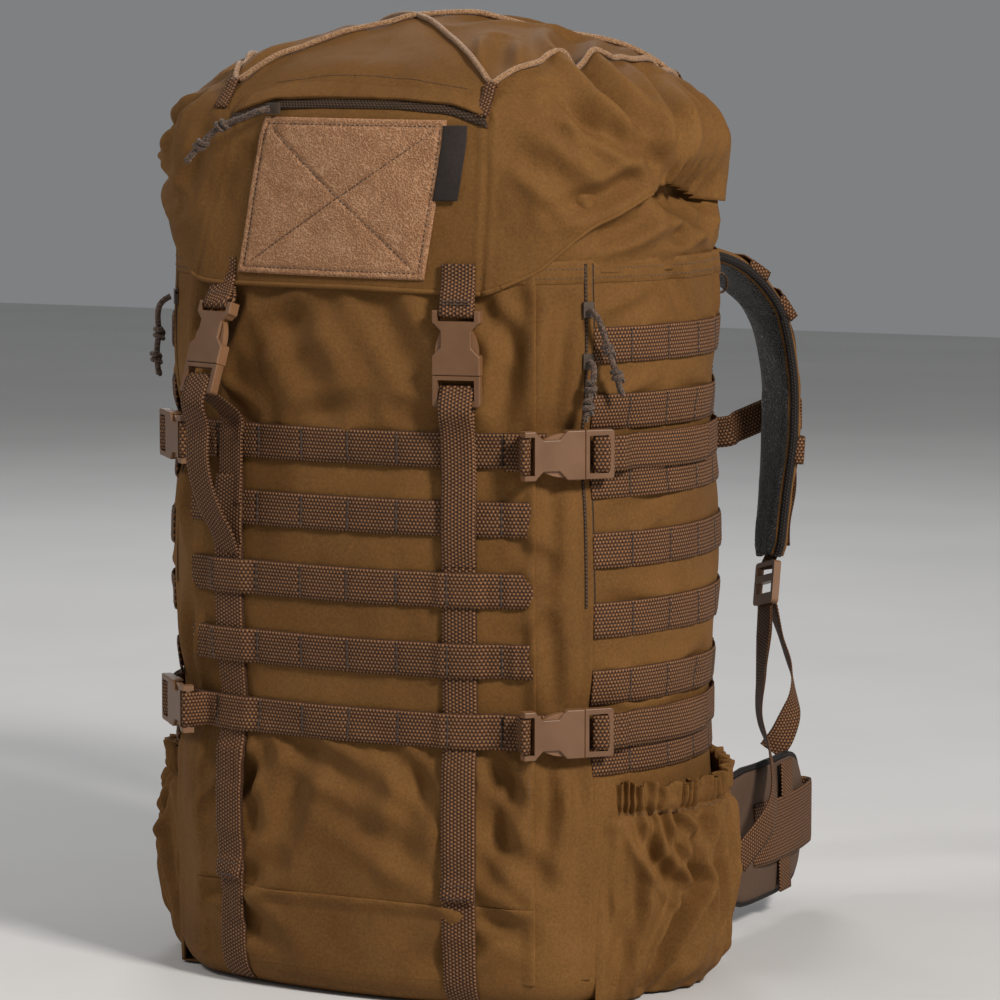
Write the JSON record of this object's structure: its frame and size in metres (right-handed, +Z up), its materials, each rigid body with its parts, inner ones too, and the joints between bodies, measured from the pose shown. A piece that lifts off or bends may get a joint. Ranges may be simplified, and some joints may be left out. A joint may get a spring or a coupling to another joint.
{
  "type": "hunting backpack",
  "caption": "Tall top-loading field backpack with hooded lid, webbing rows, compression straps, side pockets, padded harness and hip belt.",
  "frame": {"origin": "middle of the flat base, under the bag's upright axis", "axes": "+Z up, -Y the front with the webbing rows, +Y the wearer's side, +X the wearer's right as seen from the front"},
  "size_m": [0.444, 0.5375, 0.7094],
  "materials": {
    "shell_fabric": "coated woven cloth",
    "webbing": "flat woven webbing",
    "buckle_plastic": "moulded",
    "mesh": "spacer mesh",
    "aluminium": "bare",
    "sheet_plastic": "sheet",
    "steel": "wire",
    "loop_tape": "loop pile",
    "tag": "woven tag",
    "zip_tape": "coil zip",
    "dark_plastic": "moulded",
    "dark_cord": "braided",
    "lace": "braided elastic"
  },
  "bodies": {
    "pack": {"base_panel": "shell_fabric", "front_panels": "shell_fabric", "corner_bands": "shell_fabric", "side_panels": "shell_fabric", "back_panel": "shell_fabric", "collar": "shell_fabric", "drawcord": "dark_cord", "cord_lock_body": "dark_plastic", "cord_lock_spring": "steel", "frame_sheet": "sheet_plastic", "frame_stays": "aluminium", "back_pads": "mesh", "lumbar_pad": "mesh", "webbing_loops": "webbing", "side_pockets": "shell_fabric", "strap_gussets": "shell_fabric", "front_webbing": "webbing", "side_webbing": "webbing", "compression_straps": "webbing", "front_straps": "webbing", "side_buckle_females": "buckle_plastic", "side_zips": "zip_tape", "shoulder_pads": "mesh", "shoulder_webbing": "webbing", "ladder_locks": "buckle_plastic", "lower_webbing": "webbing"},
    "lid": {"lid_shell": "shell_fabric", "lid_floor": "shell_fabric", "lid_patch": "loop_tape", "lid_tag": "tag", "lid_zip": "zip_tape", "lid_straps": "webbing", "lid_lace": "lace", "lid_loops": "webbing", "lid_buckle_females": "buckle_plastic"},
    "lid_zip_slider": {"lid_zip_slider": "dark_plastic", "lid_zip_pull": "dark_cord"},
    "lid_buckle_male_right": {"lid_buckle_male_right": "buckle_plastic"},
    "lid_buckle_male_left": {"lid_buckle_male_left": "buckle_plastic"},
    "side_buckle_male_upper_right": {"side_buckle_male_upper_right": "buckle_plastic"},
    "side_buckle_male_lower_right": {"side_buckle_male_lower_right": "buckle_plastic"},
    "side_buckle_male_upper_left": {"side_buckle_male_upper_left": "buckle_plastic"},
    "side_buckle_male_lower_left": {"side_buckle_male_lower_left": "buckle_plastic"},
    "zip_slider_upper_right": {"zip_slider_upper_right": "dark_plastic", "zip_pull_upper_right": "dark_cord"},
    "zip_slider_lower_right": {"zip_slider_lower_right": "dark_plastic", "zip_pull_lower_right": "dark_cord"},
    "zip_slider_left": {"zip_slider_left": "dark_plastic", "zip_pull_left": "dark_cord"},
    "cord_lock_plunger": {"cord_lock_plunger": "dark_plastic"},
    "chest_right": {"chest_strap_right": "webbing", "chest_buckle_female": "buckle_plastic"},
    "chest_left": {"chest_strap_left": "webbing"},
    "chest_male": {"chest_buckle_male": "buckle_plastic"},
    "hip_fin_right": {"hip_fin_right": "mesh", "belt_webbing_right": "webbing", "belt_buckle_female": "buckle_plastic"},
    "hip_fin_left": {"hip_fin_left": "mesh", "belt_webbing_left": "webbing", "belt_buckle_male": "buckle_plastic"}
  },
  "joints": [
    {"name": "lid_hinge", "type": "hinge", "parent": "pack", "child": "lid", "pos_m": [0, 0.128, 0.585], "axis": [-1, 0, 0], "range_deg": [0, 100]},
    {"name": "lid_zip_slide", "type": "hinge", "parent": "lid", "child": "lid_zip_slider", "pos_m": [0, 0.25826, 0.634], "axis": [0, 0, 1], "range_deg": [-5, 21]},
    {"name": "lid_release_right", "type": "slide", "parent": "pack", "child": "lid_buckle_male_right", "axis": [0, 0, -1], "range_m": [0, 0.034]},
    {"name": "lid_release_left", "type": "slide", "parent": "pack", "child": "lid_buckle_male_left", "axis": [-0.1057, -0.2904, -0.9511], "range_m": [0, 0.034]},
    {"name": "compression_release_upper_right", "type": "slide", "parent": "pack", "child": "side_buckle_male_upper_right", "axis": [0.6947, 0.7193, 0], "range_m": [0, 0.034]},
    {"name": "compression_release_lower_right", "type": "slide", "parent": "pack", "child": "side_buckle_male_lower_right", "axis": [0.6947, 0.7193, 0], "range_m": [0, 0.034]},
    {"name": "compression_release_upper_left", "type": "slide", "parent": "pack", "child": "side_buckle_male_upper_left", "axis": [-0.6947, 0.7193, 0], "range_m": [0, 0.034]},
    {"name": "compression_release_lower_left", "type": "slide", "parent": "pack", "child": "side_buckle_male_lower_left", "axis": [-0.6947, 0.7193, 0], "range_m": [0, 0.034]},
    {"name": "side_zip_upper_right", "type": "slide", "parent": "pack", "child": "zip_slider_upper_right", "axis": [0, 0, 1], "range_m": [-0.024, 0.024]},
    {"name": "side_zip_lower_right", "type": "slide", "parent": "pack", "child": "zip_slider_lower_right", "axis": [0, 0, 1], "range_m": [-0.004, 0.024]},
    {"name": "side_zip_left", "type": "slide", "parent": "pack", "child": "zip_slider_left", "axis": [0, 0, 1], "range_m": [-0.018, 0.024]},
    {"name": "cord_lock_press", "type": "slide", "parent": "pack", "child": "cord_lock_plunger", "axis": [0, 1, 0], "range_m": [0, 0.004], "stiffness_N_per_m": 300, "deforming": ["cord_lock_spring"]},
    {"name": "chest_height_right", "type": "slide", "parent": "pack", "child": "chest_right", "axis": [0, 0, 1], "range_m": [-0.015, 0.015]},
    {"name": "chest_height_left", "type": "slide", "parent": "pack", "child": "chest_left", "axis": [0, 0, 1], "range_m": [-0.015, 0.015]},
    {"name": "chest_release", "type": "slide", "parent": "chest_left", "child": "chest_male", "axis": [-1, 0, 0], "range_m": [0, 0.034]},
    {"name": "hip_fin_swing_right", "type": "hinge", "parent": "pack", "child": "hip_fin_right", "pos_m": [0.147, 0.148, 0.07], "axis": [0, 0, 1], "range_deg": [0, 35]},
    {"name": "hip_fin_swing_left", "type": "hinge", "parent": "pack", "child": "hip_fin_left", "pos_m": [-0.147, 0.148, 0.07], "axis": [0, 0, -1], "range_deg": [0, 35]}
  ],
  "couplings": [
    {"joint": "chest_height_left", "follows": "chest_height_right", "ratio": 1}
  ]
}
